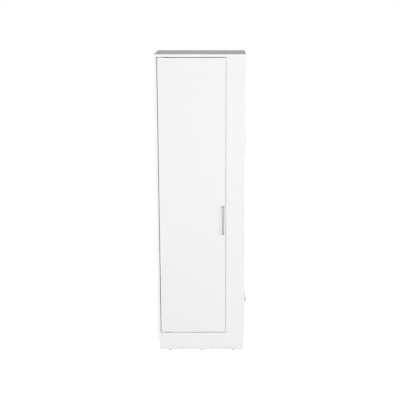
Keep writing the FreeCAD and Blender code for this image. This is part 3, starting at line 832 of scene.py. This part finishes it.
def dress(node: str, material: bpy.types.Material) -> None:
    """Give a CAD node its finish.

    Args:
        node: The node's name.
        material: Its finish.
    """
    for slot in frame["nodes"][node].material_slots:
        slot.material = material
    log.info("%s: %s", node, material.name)


@dataclass(frozen=True)
class ScrewMaker:
    """Screws with a cross recess and a cut thread, in the places of the CAD screws."""

    pitch: float
    sides: int = 24
    turn_steps: int = 4
    least_steps: int = 8
    crest: float = 0.22
    ridge: float = 0.25               # half of a ridge's width, as a share of the pitch
    point: float = 0.004
    blunt: float = 0.06               # the point's own radius, as a share of the thread's
    same: float = 2e-5                # difference at which two radii count as one
    recess_reach: float = 0.60
    recess_width: float = 0.19
    recess_depth: float = 0.0017
    recess_taper: float = 0.45
    rim: float = 0.00018
    pan_flat: float = 0.5
    dome: float = 0.86
    dome_steps: int = 5

    def recess(self, work: Workpiece, solid: Turned, ring: Sequence[int], flat: float) -> None:
        """Close the head's flat top round a tapered cross.

        Args:
            work: The mesh to add to.
            solid: The screw.
            ring: Point numbers of the flat's edge.
            flat: The flat's radius.
        """
        u, v = across(solid.way)
        reach = flat * self.recess_reach
        half = flat * self.recess_width
        corners = []
        for quarter in range(4):
            turn = quarter * math.pi / 2
            along = u * math.cos(turn) + v * math.sin(turn)
            beside = v * math.cos(turn) - u * math.sin(turn)
            corners += [along * reach - beside * half, along * reach + beside * half,
                        along * half + beside * half]
        mouth = work.row([solid.start + corner for corner in corners])
        floor = work.row([solid.start + corner * self.recess_taper + solid.way * self.recess_depth
                          for corner in corners])
        work.skin([mouth, floor])
        work.faces.append(tuple(floor))
        share = len(ring) / 4
        nearest = []
        for quarter in range(4):
            nearest += [round(quarter * share - 1), round(quarter * share + 1),
                        round((quarter + 0.5) * share)]
        count = len(ring)
        for i, start in enumerate(nearest):
            end = nearest[(i + 1) % len(nearest)]
            inner = mouth[i]
            step = start
            while (step - end) % count:
                work.faces.append((inner, ring[step % count], ring[(step + 1) % count]))
                step += 1
            work.faces.append((inner, ring[end % count], mouth[(i + 1) % len(mouth)]))

    def shank(self, work: Workpiece, solid: Turned, start: float, pointed: bool) -> None:
        """Cut the thread from the head to the tip.

        Args:
            work: The mesh to add to.
            solid: The screw.
            start: Distance from the top of the head to the thread.
            pointed: Whether the tip is a point.
        """
        u, v = across(solid.way)
        crest = solid.tip_radius
        core = crest * (1.0 - self.crest)
        length = solid.length
        steps = max(self.least_steps, round((length - start) / self.pitch * self.turn_steps))
        rows = []
        for step in range(steps + 1):
            along = start + (length - start) * step / steps
            left = length - along
            taper = min(1.0, left / self.point) if pointed else 1.0
            fade = min(1.0, (along - start) / self.pitch)
            points = []
            for k in range(self.sides):
                angle = 2 * math.pi * k / self.sides
                phase = (along / self.pitch - k / self.sides) % 1.0
                ridge = max(0.0, 1.0 - abs(phase - 0.5) / self.ridge)
                radius = (core + (crest - core) * (ridge * fade + (1.0 - fade))) * max(taper, self.blunt)
                points.append(solid.start + solid.way * along
                              + (u * math.cos(angle) + v * math.sin(angle)) * radius)
            rows.append(work.row(points))
        work.skin(rows)
        work.cap(rows[-1], solid.start + solid.way * length)
        work.cap(rows[0], solid.start + solid.way * start)

    def make(self, node: str, axis: Axis, material: bpy.types.Material,
             head: Head = Head.COUNTERSUNK) -> bpy.types.Object:
        """Make all the screws of a CAD node.

        Args:
            node: The CAD node of the screws.
            axis: Direction of their axes.
            material: Their finish.
            head: Shape of their heads.

        Returns:
            One piece that stands for the node.
        """
        work = Workpiece()
        for solid in [turned_from(points, axis) for points in islands(node)]:
            wide = solid.widest
            thin = solid.tip_radius
            height = min(along for along, radius in solid.outline if abs(radius - thin) < self.same)
            if head is Head.COUNTERSUNK:
                flat = wide - 2 * self.rim
                outline = [(0.0, flat), (self.rim, wide - self.rim), (height, thin)]
            else:
                flat = wide * self.pan_flat
                arc = [math.pi / 2 * step / self.dome_steps for step in range(self.dome_steps + 1)]
                outline = [(height * self.dome * (1.0 - math.cos(a)), flat + (wide - flat) * math.sin(a))
                           for a in arc]
                outline += [(height, wide), (height, thin)]
            rings = work.turn(solid, outline, self.sides)
            self.recess(work, solid, rings[0], flat)
            work.cap(rings[-1], solid.start + solid.way * height)
            self.shank(work, solid, height, head is Head.COUNTERSUNK)
        return work.piece(node + "_cut", material, stands_for=node)


# ---------------- sub-assemblies

@dataclass(frozen=True)
class Finishes:
    """The finishes that several sub-assemblies share."""

    board: Melamine = Melamine()
    zinc: Metal = Metal((0.68, 0.70, 0.72), (0.60, 0.60, 0.56), 0.27, patch_share=0.6)
    nickel: Metal = Metal((0.378, 0.376, 0.372), (0.355, 0.353, 0.348), 0.33, streak_share=0.22,
                          relief=7e-6, patch_share=0.3)
    # Nickel at half the handle's tone, for the side pull: partly a darker finish of its own, partly painted
    # shade for how dark the pull looks on the side.
    dark_and_shaded_nickel: Metal = Metal((0.19, 0.189, 0.186), (0.17, 0.169, 0.166), 0.34, streak_share=0.22,
                               relief=7e-6, patch_share=0.3)
    cast: Metal = Metal((0.52, 0.53, 0.54), (0.42, 0.43, 0.44), 0.45, streak_share=0.2, relief=8e-6)
    spring: Metal = Metal((0.50, 0.51, 0.53), (0.42, 0.43, 0.46), 0.30, patch_size=0.006)
    white_plastic: Moulded = Moulded((0.86, 0.86, 0.85), 0.42)
    grey_plastic: Moulded = Moulded((0.13, 0.13, 0.135), 0.5)
    nylon: Moulded = Moulded((0.80, 0.79, 0.74), 0.35)
    clear: Moulded = Moulded((0.86, 0.87, 0.87), 0.22, relief=3e-6, transmission=0.75)
    ferrite: Moulded = Moulded((0.055, 0.055, 0.06), 0.62, grain=0.0003, relief=2.5e-5)
    wood: Beech = Beech()


@dataclass(frozen=True)
class Carcass:
    """Boards of the case, the stile behind the fixed front, and the back panel."""

    finishes: Finishes
    rebate_skin: float = 0.0026

    def dress(self) -> None:
        """Give each board its laminate, with raw chips on the edges that nobody sees."""
        hidden_ends = (Edge.FOOT, Edge.TOP)
        sides = (Edge.REAR, *hidden_ends)
        bare = {"left_side": sides, "right_side": sides, "top_panel": (Edge.REAR,),
                "bottom_panel": (Edge.REAR, Edge.LEFT, Edge.RIGHT), "fixed_front": hidden_ends,
                "hat_shelf": (Edge.REAR, Edge.LEFT, Edge.RIGHT), "tool_batten": (Edge.LEFT, Edge.RIGHT)}
        for node, edges in bare.items():
            dress(node, self.finishes.board.material(node + "_laminate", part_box(node), edges))
        stile = self.finishes.board.material("stile_laminate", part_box("closing_stile"), hidden_ends,
                                             self.rebate_skin)
        dress("closing_stile", stile)
        dress("back_panel", Hardboard().material("back_board"))


@dataclass(frozen=True)
class Plinth:
    """Rails, corner blocks and glides under the case."""

    finishes: Finishes
    screw_pitch: float = 0.0018

    def dress(self) -> None:
        """Give the rails scuffed laminate, and the rest its wood, plastic and zinc."""
        board = self.finishes.board
        bare = (Edge.FOOT, Edge.TOP)
        for node in ("plinth_front", "plinth_back", "plinth_left", "plinth_right"):
            dress(node, board.material(node + "_laminate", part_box(node), bare, scuffed=True))
        dress("corner_blocks", self.finishes.wood.material("block_beech"))
        dress("glides", self.finishes.grey_plastic.material("glide_plastic"))
        dress("glide_nails", self.finishes.zinc.material("nail_zinc"))

    def build(self) -> list[bpy.types.Object]:
        """Cut the corner blocks' screws."""
        zinc = self.finishes.zinc.material("block_screw_zinc")
        return [ScrewMaker(self.screw_pitch).make("block_screws", Axis.Z, zinc)]


@dataclass(frozen=True)
class Connectors:
    """Dowels, cams, their bolts and the caps over them."""

    finishes: Finishes
    cap_sides: int = 48
    cap_rim: float = 0.0011
    cap_dish: float = 0.00025
    cap_round: tuple[Pair, ...] = ((0.0, 0.0), (0.35, 0.0), (0.72, 0.3), (0.95, 0.75), (1.0, 1.1))
    cap_floor: float = 1.6

    def dress(self) -> None:
        """Give the dowels beech and the cams their metals."""
        dress("dowels", Beech(grain=Axis.X).material("dowel_beech"))
        dress("cams", self.finishes.cast.material("cam_die_cast"))
        dress("cam_bolts", self.finishes.zinc.material("bolt_zinc"))

    def mould(self, work: Workpiece, cap: Turned) -> None:
        """Mould one cap, dished inside a rounded rim.

        The round is given as shares of the cap's thickness and of the rim's width.

        Args:
            work: The mesh to add to.
            cap: The plain cap.
        """
        rim = self.cap_rim
        dish = cap.length - self.cap_dish
        outline = [(cap.length * up, cap.widest - rim * inward) for up, inward in self.cap_round]
        outline += [(dish, cap.widest - rim * self.cap_floor), (dish, cap.widest / 2)]
        rings = work.turn(cap, outline, self.cap_sides)
        work.cap(rings[0], cap.start)
        work.cap(rings[-1], cap.start + cap.way * dish)

    def build(self) -> list[bpy.types.Object]:
        """Mould the caps on the sides and under the shelf.

        Returns:
            The new pieces.
        """
        work = Workpiece()
        for points in islands("cam_caps"):
            low, high = extent(points)
            spans = list(high - low)
            self.mould(work, turned_from(points, Axis(spans.index(min(spans)))))
        plastic = self.finishes.white_plastic.material("cap_plastic")
        return [work.piece("cam_caps_moulded", plastic, "cam_caps")]


@dataclass(frozen=True)
class Pivots:
    """Plates, pins, washers and sockets that the door turns on."""

    finishes: Finishes
    screw_pitch: float = 0.0015

    def dress(self) -> None:
        """Give the plates and sockets nickel, and the washers nylon."""
        brushed = self.finishes.nickel.along(Axis.X)
        dress("pivot_plates", brushed.material("pivot_plate_nickel"))
        dress("door_sockets", brushed.material("door_socket_nickel"))
        dress("pivot_washers", self.finishes.nylon.material("washer_nylon"))

    def build(self) -> list[bpy.types.Object]:
        """Cut the screws of the plates and sockets.

        Returns:
            The new pieces.
        """
        maker = ScrewMaker(self.screw_pitch)
        zinc = self.finishes.zinc.material("pivot_screw_zinc")
        return [maker.make(node, Axis.Z, zinc) for node in ("pivot_plate_screws", "door_socket_screws")]


@dataclass(frozen=True)
class Door:
    """Door board with its bow handle, bumpers and strike plate."""

    finishes: Finishes
    wood_pitch: float = 0.0015
    machine_pitch: float = 0.0007
    bumper_sides: int = 32
    bumper_steps: int = 6
    bumper_fullness: float = 0.6
    bumper_crease: float = 60.0

    def dress(self) -> None:
        """Give the board laminate and the handle nickel brushed along its length."""
        dress("door_panel", self.finishes.board.material("door_laminate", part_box("door_panel")))
        dress("bow_handle", self.finishes.nickel.along(Axis.Z).material("bow_nickel"))
        dress("strike_plate", self.finishes.zinc.material("strike_zinc"))

    def bumpers(self) -> bpy.types.Object:
        """Cast the clear bumpers as low domes.

        Returns:
            One piece that stands for all of them.
        """
        work = Workpiece()
        for points in islands("door_bumpers"):
            pad = turned_from(points, Axis.Y)
            arc = [math.pi / 2 * step / self.bumper_steps for step in range(self.bumper_steps)]
            outline = [(pad.length * math.sin(a), pad.widest * math.cos(a) ** self.bumper_fullness)
                       for a in arc]
            rings = work.turn(pad, outline, self.bumper_sides)
            work.cap(rings[0], pad.start)
            work.cap(rings[-1], pad.start + pad.way * pad.length)
        return work.piece("bumper_domes", self.finishes.clear.material("bumper_clear"), "door_bumpers",
                          crease=self.bumper_crease)

    def build(self) -> list[bpy.types.Object]:
        """Make the bumpers and the screws of the handle and the strike plate.

        Returns:
            The new pieces.
        """
        zinc = self.finishes.zinc.material("door_screw_zinc")
        return [self.bumpers(),
                ScrewMaker(self.machine_pitch).make("bow_screws", Axis.Y, zinc, Head.PAN),
                ScrewMaker(self.wood_pitch).make("strike_screws", Axis.Y, zinc)]


@dataclass(frozen=True)
class SidePull:
    """Profile pull on the right side, with its screws."""

    finishes: Finishes
    screw_pitch: float = 0.0015

    def dress(self) -> None:
        """Give the pull nickel at half the handle's tone, brushed along its length: partly its own darker
        finish, partly painted shade.
        """
        dress("side_pull", self.finishes.dark_and_shaded_nickel.along(Axis.Y).material("pull_dark_and_shaded_nickel"))

    def build(self) -> list[bpy.types.Object]:
        """Cut the pull's screws."""
        zinc = self.finishes.zinc.material("pull_screw_zinc")
        return [ScrewMaker(self.screw_pitch).make("side_pull_screws", Axis.X, zinc)]


@dataclass(frozen=True)
class Catch:
    """Magnetic catch: white case, and a magnet between two steel poles."""

    finishes: Finishes
    pole: float = 0.0009
    magnet_back: float = 0.0005
    bevel: float = 0.00015
    screw_pitch: float = 0.0015

    def dress(self) -> None:
        """Give the case its plastic."""
        dress("catch_case", self.finishes.white_plastic.material("catch_plastic"))

    def build(self) -> list[bpy.types.Object]:
        """Make the magnet with its poles, and the case's screws.

        Returns:
            The new pieces.
        """
        low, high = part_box("catch_magnet")
        magnet = Workpiece()
        magnet.block(low + Vector((self.pole, self.magnet_back, 0.0)), high - Vector((self.pole, 0.0, 0.0)),
                     self.bevel)
        poles = Workpiece()
        poles.block(low, Vector((low.x + self.pole, high.y, high.z)), self.bevel)
        poles.block(Vector((high.x - self.pole, low.y, low.z)), high, self.bevel)
        ferrite = self.finishes.ferrite.material("magnet_ferrite")
        zinc = self.finishes.zinc.material("catch_screw_zinc")
        return [magnet.piece("magnet_block", ferrite, "catch_magnet"),
                poles.piece("magnet_poles", self.finishes.zinc.material("pole_zinc"), body="case",
                            slot="zinc_steel"),
                ScrewMaker(self.screw_pitch).make("catch_screws", Axis.X, zinc)]


@dataclass(frozen=True)
class InsideFittings:
    """Broom clips and hooks on the batten, wall brackets, and the stile's screws."""

    finishes: Finishes
    screw_pitch: float = 0.0015
    long_pitch: float = 0.0018

    def dress(self) -> None:
        """Give the clips spring steel, the hooks nickel and the brackets zinc."""
        dress("broom_clips", self.finishes.spring.material("clip_spring_steel"))
        dress("tool_hooks", self.finishes.nickel.material("hook_nickel"))
        dress("wall_brackets", self.finishes.zinc.material("bracket_zinc"))

    def build(self) -> list[bpy.types.Object]:
        """Cut the screws of the fittings and the stile.

        Returns:
            The new pieces.
        """
        short = ScrewMaker(self.screw_pitch)
        zinc = self.finishes.zinc.material("fitting_screw_zinc")
        return [short.make("clip_screws", Axis.Y, zinc),
                short.make("hook_screws", Axis.Y, zinc),
                short.make("bracket_screws", Axis.Z, zinc),
                ScrewMaker(self.long_pitch).make("stile_screws", Axis.Y, zinc)]


# ---------------- studio

@dataclass(frozen=True)
class Lamp:
    """Soft lamp, aimed at the cupboard from a direction in degrees, with azimuth 0 in front."""

    name: str
    azimuth: float
    elevation: float
    distance: float
    width: float
    height: float
    level: float
    glossy: bool = True

    def hang(self, target: Vector) -> None:
        """Hang the lamp so that a white surface facing it renders at its level.

        Args:
            target: The point that it lights.
        """
        turn = math.radians(self.azimuth)
        tilt = math.radians(self.elevation)
        way = Vector((math.sin(turn) * math.cos(tilt), -math.cos(turn) * math.cos(tilt), math.sin(tilt)))
        light = bpy.data.lights.new(self.name, "AREA")
        light.shape = "RECTANGLE"
        light.size = self.width
        light.size_y = self.height
        light.energy = self.level * (math.pi * self.distance) ** 2
        lamp = add_object(self.name, light)
        lamp.location = target + way * self.distance
        lamp.rotation_euler = (-way).to_track_quat("-Z", "Y").to_euler()
        lamp.visible_camera = False
        lamp.visible_glossy = self.glossy


@dataclass(frozen=True)
class Studio:
    """White studio: floor, world, lamps and camera."""

    # name, azimuth, elevation, distance, width, height, level, and whether gloss shows it
    lamps: tuple[Lamp, ...] = (Lamp("key", 0.5, -2.0, 8.0, 2.2, 1.3, 0.54, False),
                               Lamp("softbox", 0.0, 8.0, 6.0, 4.0, 3.0, 0.115),
                               Lamp("top_fill", 0.0, 45.0, 8.0, 3.0, 2.0, 0.058, False),
                               Lamp("right_fill", 45.0, 15.0, 8.0, 3.5, 3.0, 0.19, False),
                               Lamp("left_fill", -35.0, 15.0, 8.0, 3.5, 3.0, 0.03, False),
                               Lamp("right_side", 95.0, 8.0, 7.0, 3.0, 3.0, 0.46, False),
                               Lamp("left_side", -95.0, 8.0, 7.0, 3.0, 3.0, 0.64, False),
                               Lamp("back_fill", 168.0, 3.0, 7.0, 3.0, 3.0, 0.58, False))
    ambient: float = 0.066
    floor_tone: Tint = (0.30, 0.30, 0.30)
    glow_tone: Tint = (0.92, 0.92, 0.92)
    floor_reach: float = 14.0
    glow_near: float = 0.6
    glow_far: float = 2.6
    camera_place: Tint = (0.1177, -5.755, 2.396)
    camera_pitch: float = 13.30
    camera_lens: float = 76.5
    camera_shift: float = -0.0477

    def seen(self, graph: Graph) -> Num:
        """1 for the rays that show the background: from the camera, and off or through a surface."""
        path = graph.add("LightPath").outputs
        return graph.most([Num(graph, path[name]) for name in SHOWN_TO])

    def floor(self) -> None:
        """Lay a pale floor that keeps the cupboard's shadow on a white ground."""
        material, graph, place = new_material("floor_paper")
        paper = graph.add("BsdfDiffuse", inputs={"Color": self.floor_tone})
        x, y, _ = graph.split(place)
        away = graph.smooth(graph.math("SQRT", x * x + y * y), self.glow_near, self.glow_far)
        glow = graph.add("Emission", inputs={"Color": graph.mix(away, self.glow_tone, WHITE)})
        shown = graph.add("MixShader", inputs={0: self.seen(graph), 2: glow.outputs[0]})
        both = graph.add("AddShader", inputs={0: paper.outputs[0], 1: shown.outputs[0]})
        graph.add("OutputMaterial", inputs={"Surface": both.outputs[0]})
        reach = self.floor_reach
        mesh = bpy.data.meshes.new("floor")
        corners = [(-reach, -reach, 0.0), (reach, -reach, 0.0), (reach, reach, 0.0), (-reach, reach, 0.0)]
        mesh.from_pydata(corners, [], [(0, 1, 2, 3)])
        mesh.materials.append(material)
        add_object("floor", mesh)

    def world(self) -> None:
        """Surround the cupboard with an even light on a white ground."""
        world = bpy.data.worlds.new("white_room")
        bpy.context.scene.world = world
        graph = Graph(world)
        light = graph.add("Background", inputs={"Strength": self.ambient})
        ground = graph.add("Background", inputs={"Strength": 1.0})
        for background in (light, ground):
            graph.feed(background.inputs["Color"], WHITE)
        both = graph.add("MixShader", inputs={0: self.seen(graph), 1: light.outputs[0], 2: ground.outputs[0]})
        graph.add("OutputWorld", inputs={"Surface": both.outputs[0]})

    def camera(self) -> None:
        """Stand the camera in front, above the cupboard's top."""
        camera = bpy.data.cameras.new("camera")
        camera.lens = self.camera_lens
        camera.shift_x = self.camera_shift
        eye = add_object("camera", camera)
        eye.location = self.camera_place
        eye.rotation_euler = (math.radians(90.0 - self.camera_pitch), 0.0, 0.0)
        bpy.context.scene.camera = eye

    def build(self) -> None:
        """Set up the whole studio."""
        self.floor()
        self.world()
        low, high = CAD_BOX
        for lamp in self.lamps:
            lamp.hang((low + high) / 2)
        self.camera()
        bpy.context.scene.view_settings.view_transform = "Standard"


def main() -> None:
    """Build the studio and the cupboard's sub-assemblies in order, and report each new piece."""
    logging.basicConfig(level=logging.INFO, format="%(message)s")
    Studio().build()
    finishes = Finishes()
    carcass = Carcass(finishes)
    carcass.dress()
    for section in (Plinth, Connectors, Pivots, Door, SidePull, Catch, InsideFittings):
        assembly = section(finishes)
        assembly.dress()
        for piece in assembly.build():
            log.info("%s: %d faces", piece.name, len(piece.data.polygons))


if __name__ == "__main__":
    main()
